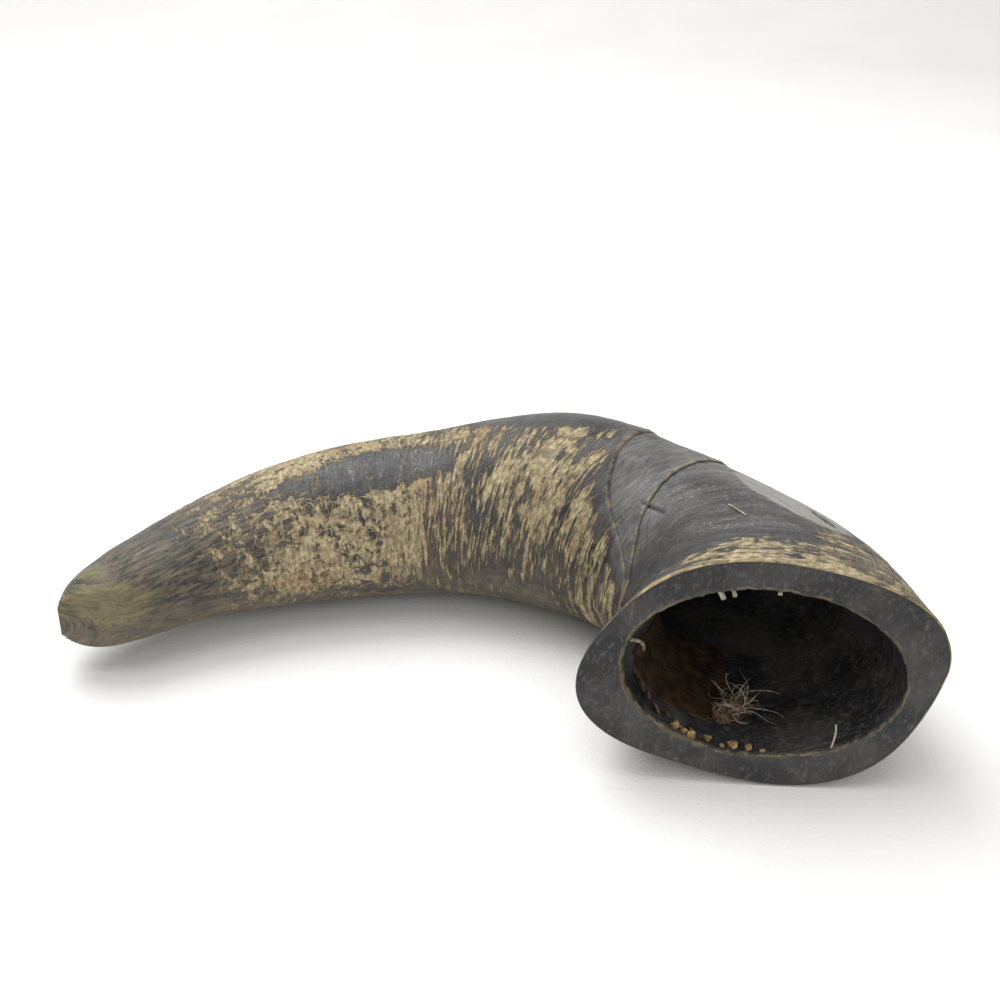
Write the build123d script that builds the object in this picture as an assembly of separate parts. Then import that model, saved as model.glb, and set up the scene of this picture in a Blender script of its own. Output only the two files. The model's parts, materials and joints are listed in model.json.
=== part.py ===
from build123d import *
import math
import os

# A shofar in its raw state: one hollow animal horn, sawn off square at the bell and ground
# blunt at the tip. It lies on its side, bell at +X, tip at -X, bulging towards +Y.
# All sizes are in millimetres and all angles in degrees.
#
# The centre line is a smooth curve led by ten stations, one STATION_STEP apart, from the
# bell (station 0) to the tip (station 9). A place on the horn is a station number, which
# may be fractional, and an angle round the section: 0 is the side at the back or right,
# 90 the top, 180 the hollow side of the bend and 270 the underside.

# Centre line
STATION_STEP = 27.4
HEADINGS = (81, 106, 135, 157, 177, 193, 207, 218, 230)
HEIGHTS = (25.9, 23.3, 21.8, 23.1, 24.3, 20.3, 19.6, 18.1, 16.1, 13.7)

# Section of the innermost growth layer's skin at each station. The lobes are shares of the
# radius that fade out towards the tip, and the bell's own lobes fade out by FADE_STATION.
BELL_HALF_WIDTH = 40.0
BELL_HALF_HEIGHT = 26.2
HALF_WIDTHS = (BELL_HALF_WIDTH, 33.7, 26.7, 25.8, 27.4, 23.0, 21.5, 17.4, 12.2, 8.1)
HALF_HEIGHTS = (BELL_HALF_HEIGHT, 24.7, 22.4, 23.3, 24.3, 19.4, 19.4, 15.8, 11.0, 7.3)
ROLLS = (2, 10, 14, 19, 14, 5, 4, 2, 0, -1)
BODY_LOBES = ((3, -0.03, -0.03), (4, 0.0, 0.03))
BELL_LOBES = ((3, 0.01, 0.03), (4, 0.0, 0.01))
SWELLING_STATION = 3.55
SWELLING_LENGTH = 0.45
SWELLING_SHARE = 0.05

# Saw cut at the bell
SAW_YAW = 7.5
SAW_PITCH = 5.4
FADE_STATION = 2.5

# Rounded tip with a flat ground on its outer end
TIP_ROUNDING_STATIONS = 0.55
TIP_END_RADIUS = 1.5
TIP_FACET_HEADING = 176
TIP_FACET_DEPTH = 1.4

# Walls and growth layers
SIDE_WALL = 8.8
TOP_WALL = 6.7
CAVITY_ROLL = -5
CAVITY_END_STATION = 6.6
LAYER_LIP = 0.6
BASE_CONE_CAP_STATIONS = 0.7
MIDDLE_CONE_CAP_STATIONS = 0.9
CONE_END_RADIUS = 1.2
OLDER_CORE_START_STATION = 1
ROUNDED_END_STATIONS = 1

# Growth rings, where an older layer's lip shows. They nearly meet on the hollow side.
MIDDLE_RING_STATION = 2.5
MIDDLE_RING_DROP = 0.7
RING_GAP = 0.65
HOLLOW_RING_GAP = 0.05
RING_DROP_POWER = 6
RING_CUT_OVERHANG = 8.8

# Blow hole, and how far its airway overlaps the end of the cavity
BLOW_HOLE_RADIUS = 2.75
AIRWAY_OVERLAP_STATIONS = 0.4

# Dried remains inside the bell
MEMBRANE_THICKNESS = 0.4
FLAKE_THICKNESS = 0.35
FIBRE_DIAMETER = 0.45
SINK = 0.3
MEMBRANE_START_STATION = 0.3
MEMBRANE_END_STATION = 1.6
MEMBRANE_EDGE = 4.0
HOOK_HEIGHT = 4.6

LAST_STATION = len(HEIGHTS) - 1
TIP_RING_STATION = MIDDLE_RING_STATION + RING_GAP
TIP_RING_DROP = MIDDLE_RING_DROP + RING_GAP - HOLLOW_RING_GAP
BASE_CONE_END_STATION = CAVITY_END_STATION + BASE_CONE_CAP_STATIONS
MIDDLE_CONE_END_STATION = BASE_CONE_END_STATION + MIDDLE_CONE_CAP_STATIONS
AIRWAY_INNER_STATION = CAVITY_END_STATION - AIRWAY_OVERLAP_STATIONS
SECTION_POINTS = 24
RING_ANGLE_STEP = 15


def spline_value(values, station):
    """A uniform cubic B-spline that starts at the first value and ends at the last."""
    before = 2 * values[0] - values[1]
    after = 2 * values[-1] - values[-2]
    led = [before, *values, after]
    low = min(max(math.floor(station), 0), len(values) - 2)
    t = station - low
    weights = (
        (1 - t) ** 3,
        3 * t**3 - 6 * t**2 + 4,
        -3 * t**3 + 3 * t**2 + 3 * t + 1,
        t**3,
    )
    return sum(w * led[low + i] for i, w in enumerate(weights)) / 6


def walk_the_centre_line():
    """The x and y of each station, one step apart along the headings."""
    xs, ys = [0.0], [0.0]
    for heading in HEADINGS:
        xs.append(xs[-1] + STATION_STEP * math.cos(math.radians(heading)))
        ys.append(ys[-1] + STATION_STEP * math.sin(math.radians(heading)))
    return xs, ys


STATION_XS, STATION_YS = walk_the_centre_line()


def centre(station):
    return Vector(
        spline_value(STATION_XS, station),
        spline_value(STATION_YS, station),
        spline_value(HEIGHTS, station),
    )


def section_axes(station, extra_roll=0):
    """The way along the horn, the level side and upright top, and the rolled side and top."""
    nudge = 0.001
    low = max(station - nudge, 0)
    high = min(station + nudge, LAST_STATION)
    along = (centre(high) - centre(low)).normalized()
    side = along.cross(Vector(0, 0, 1)).normalized()
    top = side.cross(along)
    roll = math.radians(spline_value(ROLLS, station) + extra_roll)
    rolled_side = side * math.cos(roll) + top * math.sin(roll)
    rolled_top = top * math.cos(roll) - side * math.sin(roll)
    return along, side, top, rolled_side, rolled_top


def skin_sizes(station):
    """Half width and half height of the innermost growth layer's skin."""
    return spline_value(HALF_WIDTHS, station), spline_value(HALF_HEIGHTS, station)


def lobes_at(station, turn):
    """How far the skin's section is from an ellipse, as a share of its radius."""
    body_share = 1 - station / LAST_STATION
    bell_share = max(1 - station / FADE_STATION, 0) ** 2
    waves = [(body_share, lobe) for lobe in BODY_LOBES]
    waves += [(bell_share, lobe) for lobe in BELL_LOBES]
    total = sum(
        share * (cosine * math.cos(count * turn) + sine * math.sin(count * turn))
        for share, (count, cosine, sine) in waves
    )
    away = (station - SWELLING_STATION) / SWELLING_LENGTH
    return total + SWELLING_SHARE * math.exp(-(away**2)) * max(math.sin(turn), 0)


def section_point(station, angle, half_width, half_height, plain=False):
    """A point on a section. A plain section is the cavity's, an ellipse with its own roll."""
    turn = math.radians(angle)
    fade = max(1 - station / FADE_STATION, 0) ** 2
    shape = 1 if plain else 1 + lobes_at(station, turn)
    own_roll = CAVITY_ROLL * fade if plain else 0
    along, side, top, rolled_side, rolled_top = section_axes(station, own_roll)
    out = rolled_side * (half_width * math.cos(turn) * shape)
    out += rolled_top * (half_height * math.sin(turn) * shape)
    lean = math.tan(math.radians(SAW_YAW)) * out.dot(side)
    lean += math.tan(math.radians(SAW_PITCH)) * out.dot(top)
    return centre(station) + out + along * (lean * fade)


def skin_loft(stations, sizes_at, plain=False):
    """A solid through the sections at these stations."""
    wires = []
    for station in stations:
        half_width, half_height = sizes_at(station)
        points = [
            section_point(station, 360 * i / SECTION_POINTS, half_width, half_height, plain)
            for i in range(SECTION_POINTS)
        ]
        wires.append(Wire([Edge.make_spline(points, periodic=True)]))
    return Solid.make_loft(wires)


def even_stations(start, end, count):
    return [start + (end - start) * i / (count - 1) for i in range(count)]


def rounding_stations(start, end, count):
    """Stations that crowd towards the end, where a skin closes quickly."""
    return [start + (end - start) * math.sin(math.pi / 2 * i / count) for i in range(1, count + 1)]


def dive(station, start, end):
    """How far a skin has closed in: 1 where it starts to, 0 at its end."""
    share = min(max((station - start) / (end - start), 0), 1)
    return math.sqrt(1 - share**2)


def cavity_sizes(station):
    half_width, half_height = skin_sizes(station)
    close = math.sqrt(1 - min(station / CAVITY_END_STATION, 1) ** 3)
    return (
        max((half_width - SIDE_WALL) * close, CONE_END_RADIUS),
        max((half_height - TOP_WALL) * close, CONE_END_RADIUS),
    )


def base_sizes(station):
    half_width, half_height = skin_sizes(station)
    close = dive(station, MIDDLE_RING_STATION, BASE_CONE_END_STATION)
    return max(half_width * close, CONE_END_RADIUS), max(half_height * close, CONE_END_RADIUS)


def middle_sizes(station):
    half_width, half_height = skin_sizes(station)
    close = dive(station, TIP_RING_STATION, MIDDLE_CONE_END_STATION)
    return (
        max((half_width + LAYER_LIP) * close, CONE_END_RADIUS),
        max((half_height + LAYER_LIP) * close, CONE_END_RADIUS),
    )


def tip_sizes(station):
    half_width, half_height = (size + 2 * LAYER_LIP for size in skin_sizes(station))
    start = LAST_STATION - TIP_ROUNDING_STATIONS
    close = dive(station, start, LAST_STATION)
    return max(half_width * close, TIP_END_RADIUS), max(half_height * close, TIP_END_RADIUS)


def cavity_core():
    end = CAVITY_END_STATION
    start = end - ROUNDED_END_STATIONS
    stations = even_stations(0, start, 12) + rounding_stations(start, end, 5)
    return skin_loft(stations, cavity_sizes, plain=True)


def base_core():
    end = BASE_CONE_END_STATION
    start = end - ROUNDED_END_STATIONS
    stations = even_stations(0, start, 14) + rounding_stations(start, end, 5)
    return skin_loft(stations, base_sizes)


def middle_core():
    end = MIDDLE_CONE_END_STATION
    start = end - ROUNDED_END_STATIONS
    stations = even_stations(OLDER_CORE_START_STATION, start, 13)
    stations += rounding_stations(start, end, 5)
    return skin_loft(stations, middle_sizes)


def tip_core():
    end = LAST_STATION
    start = end - TIP_ROUNDING_STATIONS
    stations = even_stations(OLDER_CORE_START_STATION, start, 15)
    stations += rounding_stations(start, end, 6)
    return skin_loft(stations, tip_sizes)


def ring_station(angle, ring, drop):
    """A growth ring runs towards the bell on the hollow side of the bend."""
    hollow = (1 - math.cos(math.radians(angle))) / 2
    return ring - drop * hollow**RING_DROP_POWER


def tip_side_of_ring(ring, drop):
    """An upright block over everything on the tip side of a growth ring."""
    reach = 2 * BELL_HALF_WIDTH
    rim = []
    for angle in range(0, 181, RING_ANGLE_STEP):
        station = ring_station(angle, ring, drop)
        point = section_point(station, angle, *skin_sizes(station))
        rim.append(Vector(point.X, point.Y))
    back_way = section_axes(ring)[1]
    hollow_way = section_axes(ring - drop)[1]
    back_end = rim[0] + Vector(back_way.X, back_way.Y) * reach
    hollow_end = rim[-1] - Vector(hollow_way.X, hollow_way.Y) * RING_CUT_OVERHANG
    far = min(STATION_XS) - reach
    ring_line = [
        Edge.make_line(back_end, rim[0]),
        Edge.make_spline(rim),
        Edge.make_line(rim[-1], hollow_end),
    ]
    far_line = Wire.make_polygon(
        [hollow_end, Vector(far, hollow_end.Y), Vector(far, back_end.Y), back_end], close=False
    )
    outline = Wire([*ring_line, *far_line.edges()])
    block = Solid.extrude(Face(outline), Vector(0, 0, 2 * reach))
    return block.moved(Location((0, 0, -reach / 2)))


def facet_place():
    """The middle of the flat ground on the tip, and the way that it faces."""
    turn = math.radians(TIP_FACET_HEADING)
    facing = Vector(math.cos(turn), math.sin(turn))
    station = LAST_STATION - TIP_ROUNDING_STATIONS
    half_width = tip_sizes(station)[0]
    middle = centre(station)
    return middle + facing * (half_width - TIP_FACET_DEPTH), facing


def ground_off():
    """A block over what is ground away to make the flat on the tip."""
    place, facing = facet_place()
    size = BELL_HALF_WIDTH
    plane = Plane(place, x_dir=Vector(0, 0, 1), z_dir=facing)
    block = Solid.make_box(size, size, size, plane)
    return block.moved(Location(plane.x_dir * (-size / 2) - plane.y_dir * (size / 2)))


def airway():
    """A straight drilled hole from the flat on the tip into the end of the cavity."""
    mouth = facet_place()[0]
    inner = centre(AIRWAY_INNER_STATION)
    way = (inner - mouth).normalized()
    start = mouth - way * (4 * BLOW_HOLE_RADIUS)
    length = (inner - start).length
    return Solid.make_cylinder(BLOW_HOLE_RADIUS, length, Plane(start, z_dir=way))


def growth_cones(cavity, base):
    """Three cones of horn, each older one sleeved over the end of the next."""
    hole = airway()
    middle = middle_core()
    middle_block = tip_side_of_ring(MIDDLE_RING_STATION, MIDDLE_RING_DROP)
    tip_block = tip_side_of_ring(TIP_RING_STATION, TIP_RING_DROP)
    base_cone = base.cut(cavity, hole)
    middle_cone = (middle & middle_block).cut(base, hole)
    tip_cone = (tip_core() & tip_block).cut(middle, hole, ground_off())
    return base_cone, middle_cone, tip_cone


def wall_place(station, angle, lift):
    """A point on the cavity's wall, lifted off it, and the ways along and inward there."""
    point = section_point(station, angle, *cavity_sizes(station), plain=True)
    inward = (centre(station) - point).normalized()
    return point + inward * lift, section_axes(station)[0], inward


def membrane_sizes(station):
    half_width, half_height = cavity_sizes(station)
    return half_width - MEMBRANE_THICKNESS, half_height - MEMBRANE_THICKNESS


def membrane_remnant(cavity):
    """A stiff curved scrap of dried membrane on the lower left of the cavity's wall."""
    near = centre(MEMBRANE_START_STATION)
    far = centre(MEMBRANE_END_STATION)
    low = Vector(near.X - BELL_HALF_WIDTH, near.Y, 0)
    size = Vector(near.X - MEMBRANE_EDGE, far.Y, near.Z) - low
    scrap = cavity & Solid.make_box(size.X, size.Y, size.Z, Plane(low))
    stations = even_stations(0, MEMBRANE_END_STATION + 1, 6)
    return scrap - skin_loft(stations, membrane_sizes, plain=True)


def fibre(start, middle, end, diameter):
    """A bent hair or strand through three points."""
    path = Edge.make_three_point_arc(start, middle, end)
    section = Face(Wire.make_circle(diameter / 2, Plane(start, z_dir=path.tangent_at(0))))
    return Solid.sweep(section, path)


def flake(station, angle, width, length, lean):
    """A loose sliver, fixed by its inner edge and leaning off the wall towards the mouth."""
    root, along, inward = wall_place(station, angle, -SINK)
    tilt = math.radians(lean)
    reach = inward * math.sin(tilt) - along * math.cos(tilt)
    across = along.cross(inward)
    plane = Plane(root, x_dir=reach, z_dir=reach.cross(across))
    return Solid.make_box(length, width, FLAKE_THICKNESS, plane)


def ball(station, angle, radius):
    place, along, inward = wall_place(station, angle, radius / 2)
    return Solid.make_sphere(radius, Plane(place, x_dir=along, z_dir=inward), -90, 90, 360)


def crumb(station, angle, size, turn):
    """A rough dried crumb, stuck to the wall by its lowest side."""
    place, along, inward = wall_place(station, angle, -SINK)
    plane = Plane(place, x_dir=along, z_dir=inward).rotated((0, 0, turn))
    return Solid.make_box(size, size, size, plane)


def keratin_flakes():
    # Place, angle, width, length and lean of each flake
    rows = (
        (0.30, 196, 2.2, 5.5, 20),
        (0.26, 205, 1.6, 4.5, 28),
        (0.24, 214, 2.6, 4.6, 24),
        (0.22, 222, 1.5, 4.0, 34),
        (0.20, 230, 2.0, 3.6, 30),
        (0.17, 238, 1.4, 3.0, 38),
    )
    return [flake(*row) for row in rows]


def tissue_crumbs():
    # Place, angle, size and turn of each crumb
    rows = (
        (0.07, 236, 1.5, 10),
        (0.08, 241, 1.2, 40),
        (0.06, 246, 1.7, 65),
        (0.09, 252, 1.3, 25),
        (0.07, 259, 1.0, 80),
        (0.08, 264, 1.7, 50),
        (0.07, 270, 1.3, 15),
        (0.06, 276, 1.0, 35),
    )
    return [crumb(*row) for row in rows]


def tuft_root():
    """A matted clump of dried tissue on the floor of the bell."""
    places = ((0.42, 252, 2.4), (0.55, 256, 3.0), (0.68, 259, 2.2))
    balls = [ball(*place) for place in places]
    return balls[0].fuse(*balls[1:])


def tuft_fibres():
    """Curled fibres that stand out of the clump."""
    # Place and angle of the root, then how far the end is up, forward and aside
    rows = (
        (0.45, 252, 5, 4, -4),
        (0.50, 254, 8, 1, 4),
        (0.55, 257, 7, 4, 7),
        (0.60, 258, 6, -2, 8),
        (0.66, 260, 5, -4, -5),
    )
    strands = []
    for station, angle, rise, forward, aside in rows:
        start, along, inward = wall_place(station, angle, SINK)
        across = along.cross(inward)
        mid = start + inward * (rise * 0.7) - along * (forward * 0.3) - across * (aside * 0.2)
        end = start + inward * rise - along * forward + across * aside
        strands.append(fibre(start, mid, end, FIBRE_DIAMETER))
    return strands


def hooked_fibre():
    """One stiff fibre that stands up from the lower right of the sawn edge."""
    start, along, inward = wall_place(0.03, 303, -SINK)
    foot = wall_place(0.05, 306, 0.9)[0]
    top = foot + Vector(0, 0, HOOK_HEIGHT)
    return fibre(start, foot, top, FIBRE_DIAMETER)


def membrane_strand():
    """A pale ribbon of membrane that hangs across the left of the wall."""
    start = wall_place(0.12, 168, -SINK)[0]
    middle = wall_place(0.35, 174, 1.2)[0]
    end = wall_place(0.62, 186, -SINK)[0]
    return fibre(start, middle, end, 2 * FIBRE_DIAMETER)


def edge_burrs():
    """Small torn burrs that the saw left on the upper inner edge."""
    rows = ((0.03, 112, 1.2, 2.2, 78), (0.02, 107, 0.9, 1.8, 66), (0.02, 88, 1.0, 1.4, 60))
    return [flake(*row) for row in rows]


def stray_fibre():
    """A straight stiff hair stuck to the outside of the bell."""
    ends = []
    for station in (1.22, 1.4, 1.58):
        point = section_point(station, 87, *skin_sizes(station))
        outward = (point - centre(station)).normalized()
        ends.append(point + outward * (FIBRE_DIAMETER / 4))
    return fibre(*ends, FIBRE_DIAMETER)


def largest(shape):
    return max(shape.solids(), key=lambda solid: solid.volume)


def fixed_inside(pieces, cavity, *blockers):
    """The part of each piece that is inside the cavity, so that it meets its wall."""
    kept = []
    for piece in pieces:
        inside = piece & cavity
        kept.append(largest(inside.cut(*blockers)) if blockers else largest(inside))
    return kept


def nodes():
    cavity = cavity_core()
    base = base_core()
    base_cone, middle_cone, tip_cone = growth_cones(cavity, base)
    membrane = membrane_remnant(cavity)
    root = fixed_inside([tuft_root()], cavity, membrane)
    flakes = fixed_inside(keratin_flakes(), cavity, membrane)
    return {
        "base_growth_cone": [base_cone],
        "middle_growth_cone": [middle_cone],
        "tip_growth_cone": [tip_cone],
        "membrane_remnant": [membrane],
        "membrane_strand": fixed_inside([membrane_strand()], cavity, membrane),
        "keratin_flakes": flakes,
        "tissue_crumbs": fixed_inside(tissue_crumbs(), cavity, *flakes),
        "tuft_root": root,
        "tuft_fibres": fixed_inside(tuft_fibres(), cavity, membrane, *root),
        "hooked_fibre": fixed_inside([hooked_fibre()], cavity),
        "edge_burrs": fixed_inside(edge_burrs(), cavity),
        "stray_fibre": [largest(stray_fibre() - base)],
    }


def main():
    os.makedirs("parts", exist_ok=True)
    named = nodes()
    cones = [named["base_growth_cone"][0], named["tip_growth_cone"][0]]
    box = Compound(cones).bounding_box()  # the cones reach further than every other piece
    to_origin = Location((-box.center().X, -box.center().Y, -box.min.Z))
    for name, pieces in named.items():
        solids = [solid.moved(to_origin) for piece in pieces for solid in piece.solids()]
        shape = solids[0] if len(solids) == 1 else Compound(solids)
        export_step(shape, f"parts/{name}.step")
        print(name, len(solids), round(shape.volume, 1))


main()
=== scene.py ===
import json
import math
import random

import bpy
import numpy as np
from mathutils import Matrix, Vector
from mathutils.bvhtree import BVHTree


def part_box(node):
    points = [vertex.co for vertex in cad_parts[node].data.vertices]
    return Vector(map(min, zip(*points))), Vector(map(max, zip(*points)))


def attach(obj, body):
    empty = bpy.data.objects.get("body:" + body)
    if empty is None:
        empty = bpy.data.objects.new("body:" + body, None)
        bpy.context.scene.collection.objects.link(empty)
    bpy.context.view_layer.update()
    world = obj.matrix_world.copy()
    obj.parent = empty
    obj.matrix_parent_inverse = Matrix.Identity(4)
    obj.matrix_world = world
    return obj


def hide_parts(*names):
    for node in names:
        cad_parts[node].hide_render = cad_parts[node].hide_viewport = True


# A raw horn, rebuilt around its CAD frame. Everything is in metres.
# A place on the horn is how far it is along the centre line from the sawn bell, and an
# angle round the section: 0 is the back, 90 the top, 180 the hollow of the bend.

MM = 0.001
CONES = ("base_growth_cone", "middle_growth_cone", "tip_growth_cone")

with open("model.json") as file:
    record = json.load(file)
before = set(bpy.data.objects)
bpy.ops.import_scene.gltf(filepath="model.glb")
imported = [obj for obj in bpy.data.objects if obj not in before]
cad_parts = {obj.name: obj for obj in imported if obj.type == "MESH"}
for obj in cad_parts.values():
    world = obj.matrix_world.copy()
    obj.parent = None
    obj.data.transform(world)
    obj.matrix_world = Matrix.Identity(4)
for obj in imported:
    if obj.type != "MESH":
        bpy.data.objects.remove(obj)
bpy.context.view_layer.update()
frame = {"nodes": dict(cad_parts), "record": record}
rng = random.Random(7)

# ---------------------------------------------------------------- reading the CAD frame

STEP = 1.0 * MM
FAN = 96
FAN_TURNS = np.arange(FAN) * 2 * math.pi / FAN
FACE_INSET = 0.05 * MM  # the first section is read this far inside the sawn face
LAYER_LIP = 0.6 * MM
CAVITY_END_RADIUS = 3.4 * MM


def mount(name):
    return next(m for m in frame["record"]["mounts"] if m["name"] == name)


def mesh_points(mesh):
    points = np.zeros(len(mesh.vertices) * 3)
    mesh.vertices.foreach_get("co", points)
    return points.reshape(-1, 3)


def cone_tree():
    """One search tree over the three growth cones, and the cone that each face is of."""
    points, faces, owners = [], [], []
    for index, name in enumerate(CONES):
        mesh = frame["nodes"][name].data
        start = len(points)
        points.extend(map(tuple, mesh_points(mesh)))
        for polygon in mesh.polygons:
            faces.append([start + corner for corner in polygon.vertices])
            owners.append(index)
    return BVHTree.FromPolygons(points, faces), owners


TREE, OWNERS = cone_tree()


def ray_hits(origin, way, limit):
    """The distance and the cone of each surface that a ray meets."""
    hits = []
    gone = 0.0
    nudge = 0.02 * MM
    while True:
        _, _, face, length = TREE.ray_cast(origin + way * gone, way, limit - gone)
        if face is None:
            return hits
        hits.append((gone + length, OWNERS[face]))
        gone += length + nudge


def axes_across(along):
    """The two directions that a section's angles are measured from: 0 and 90 degrees."""
    side = along.cross(Vector((0, 0, 1))).normalized()
    return side, side.cross(along)


def fan(centre, along, limit):
    """Rays all round one section: the outer skin, the cavity and the cones' own radii."""
    side, top = axes_across(along)
    outer = np.zeros(FAN)
    inner = np.zeros(FAN)
    cones = np.zeros((len(CONES), FAN))
    for index, turn in enumerate(FAN_TURNS):
        way = side * math.cos(turn) + top * math.sin(turn)
        hits = ray_hits(centre, way, limit)
        if hits:
            outer[index] = hits[-1][0]
            inner[index] = hits[0][0]
        for distance, cone in hits:
            cones[cone, index] = max(cones[cone, index], distance)
    return outer, inner, cones


def smooth_rows(rows, width):
    """A soft moving average down the rows, which keeps the two ends in place."""
    rows = np.asarray(rows, float)
    reach = int(3 * width)
    weights = np.exp(-0.5 * (np.arange(-reach, reach + 1) / width) ** 2)
    weights /= weights.sum()
    before = 2 * rows[:1] - rows[1:reach + 1][::-1]
    after = 2 * rows[-1:] - rows[-reach - 1:-1][::-1]
    padded = np.concatenate([before, rows, after])
    return np.stack([
        np.tensordot(weights, padded[i:i + len(weights)], 1) for i in range(len(rows))
    ])


def reach_for_next(outer):
    """How far the next section's rays look: a little past the widest radius of this one."""
    return outer.max() * 1.3 + 1 * MM


def walk_the_centre_line():
    """Steps from the sawn bell to the tip, staying in the middle of each section."""
    bell = mount("bell_face")
    facing = Vector(bell["axis"]).normalized()
    points = mesh_points(frame["nodes"][CONES[0]].data)
    off = (points - np.array(bell["pos_m"])) @ np.array(facing)
    flatness, reach_share = 0.05 * MM, 0.6
    on_face = points[np.abs(off) < flatness]
    centre = Vector((on_face.min(0) + on_face.max(0)) / 2)
    centre -= facing * (centre - Vector(bell["pos_m"])).dot(facing)
    along = -facing
    limit = (on_face.max(0) - on_face.min(0)).max() * reach_share
    centres, alongs = [centre.copy()], [along.copy()]
    turn_rate, centring, blur = 0.06, 0.5, 4
    while True:
        ahead = centre + along * STEP
        outer, _, _ = fan(ahead, along, limit)
        if outer.min() <= 0:
            break
        side, top = axes_across(along)
        right = outer * np.cos(FAN_TURNS)
        up = outer * np.sin(FAN_TURNS)
        cross = right * np.roll(up, -1) - np.roll(right, -1) * up
        middle_right = ((right + np.roll(right, -1)) * cross).sum() / (3 * cross.sum())
        middle_up = ((up + np.roll(up, -1)) * cross).sum() / (3 * cross.sum())
        target = ahead + side * middle_right * centring + top * middle_up * centring
        turned = along * (1 - turn_rate) + (target - centre).normalized() * turn_rate
        along = turned.normalized()
        centre = target
        centres.append(centre.copy())
        alongs.append(along.copy())
        limit = reach_for_next(outer)
    return smooth_rows(centres, blur), smooth_rows(alongs, blur)


CENTRES, ALONGS = walk_the_centre_line()
ALONGS /= np.linalg.norm(ALONGS, axis=1, keepdims=True)
LENGTH = (len(CENTRES) - 1) * STEP


def along_centre_line(rows, distance):
    """Reads centres or directions at any distance, and runs on past the last one."""
    place = np.maximum(np.asarray(distance, float) / STEP, 0)
    low = np.minimum(place.astype(int), len(rows) - 2)
    share = (place - low)[..., None]
    return rows[low] * (1 - share) + rows[low + 1] * share


def fill_round(radii):
    """Fills the rays that met nothing, from their neighbours in the same section."""
    found = radii > 0
    if found.all() or not found.any():
        return radii
    turns = np.flatnonzero(found)
    wrapped = np.concatenate([turns - FAN, turns, turns + FAN])
    return np.interp(np.arange(FAN), wrapped, np.tile(radii[turns], 3))


def survey():
    """Fans all the way along. The last few millimetres are closer together."""
    close, close_rows, short_of_tip = 5 * MM, 25, 0.03 * MM
    points = mesh_points(frame["nodes"][CONES[2]].data)
    ahead = (points - CENTRES[-1]) @ ALONGS[-1]
    tip = LENGTH + ahead.max() - short_of_tip
    even = np.arange(0, tip - close, STEP)
    even[0] = FACE_INSET
    curl = np.sin(np.linspace(0, math.pi / 2, close_rows + 1)[1:])
    stations = np.concatenate([even, even[-1] + (tip - even[-1]) * curl])
    all_outer, all_inner, all_cones = [], [], []
    limit = 60 * MM
    for station in stations:
        centre = Vector(along_centre_line(CENTRES, station))
        along = Vector(along_centre_line(ALONGS, station) if station > STEP / 2 else ALONGS[0])
        outer, inner, cones = fan(centre, along.normalized(), limit)
        all_outer.append(fill_round(outer))
        all_inner.append(fill_round(inner))
        all_cones.append(cones)
        limit = reach_for_next(outer)
    return stations, np.array(all_outer), np.array(all_inner), np.array(all_cones)


STATIONS, OUTER, INNER, CONE_RADII = survey()
TIP = STATIONS[-1]


def ring_line(cone):
    """Where a growth cone's lip runs, at each angle of the fan."""
    seen = CONE_RADII[:, cone] > 0
    line = STATIONS[seen.argmax(0)]
    tripled = np.concatenate([line, line, line])
    return smooth_rows(tripled[:, None], 2.0)[FAN:2 * FAN, 0]


MIDDLE_RING = ring_line(1)
TIP_RING = ring_line(2)

# ---------------------------------------------------------------- noise for the surfaces


def scatter(cells, seed):
    """A repeatable number from 0 to 1 for each whole-number cell."""
    mixed = cells[..., 0] * 374761393 + cells[..., 1] * 668265263 + cells[..., 2] * 2147483647
    mixed = (mixed + seed * 1274126177) & 0xFFFFFFFF
    mixed = ((mixed ^ (mixed >> 13)) * 1274126177) & 0xFFFFFFFF
    mixed = ((mixed ^ (mixed >> 16)) * 2246822519) & 0xFFFFFFFF
    return (mixed & 0xFFFFFF) / 0xFFFFFF


def soft_noise(points, seed):
    """Smooth noise from 0 to 1, one cell to a unit."""
    cells = np.floor(points).astype(np.int64)
    share = points - cells
    share = share * share * (3 - 2 * share)
    total = np.zeros(points.shape[:-1])
    for corner in range(8):
        bits = np.array([(corner >> k) & 1 for k in range(3)])
        weight = np.prod(np.where(bits, share, 1 - share), axis=-1)
        total += weight * scatter(cells + bits, seed)
    return total


def rough_noise(points, sizes, seed, octaves=3):
    """Several layers of noise, whose cells are sizes across at first, then half of that."""
    loss = 0.55
    total = np.zeros(points.shape[:-1])
    weight, sum_of_weights = 1.0, 0.0
    scaled = points / np.asarray(sizes, float)
    for octave in range(octaves):
        total += weight * soft_noise(scaled * 2**octave + 17.3 * octave, seed + octave)
        sum_of_weights += weight
        weight *= loss
    return total / sum_of_weights


def step_up(value, low, high):
    """0 up to low, 1 from high on, and a smooth climb between them."""
    share = np.clip((value - low) / (high - low), 0, 1)
    return share * share * (3 - 2 * share)


def spot(station, turn, at, angle, length, width):
    """1 inside a soft oval at a place on the skin, 0 outside: lengths in mm, turn in degrees."""
    away = (station / MM - at) / length
    round_ = (np.degrees(turn) - angle + 180) % 360 - 180
    return 1 - step_up(np.hypot(away, round_ / width), 0.65, 1.15)


# ---------------------------------------------------------------- grids into meshes


def fan_to_columns(rows, columns):
    """Rows of the fan read at evenly spaced columns, by a smooth periodic curve."""
    place = np.arange(columns) * FAN / columns
    low = place.astype(int)
    t = place - low
    reads = [rows[..., (low + k) % FAN] for k in (-1, 0, 1, 2)]
    return catmull(reads, t)


def catmull(reads, t):
    """A smooth curve through four values, read at a share t between the middle two."""
    before, start, end, after = reads
    return 0.5 * (
        2 * start
        + (end - before) * t
        + (2 * before - 5 * start + 4 * end - after) * t**2
        + (3 * start - before - 3 * end + after) * t**3
    )


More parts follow.
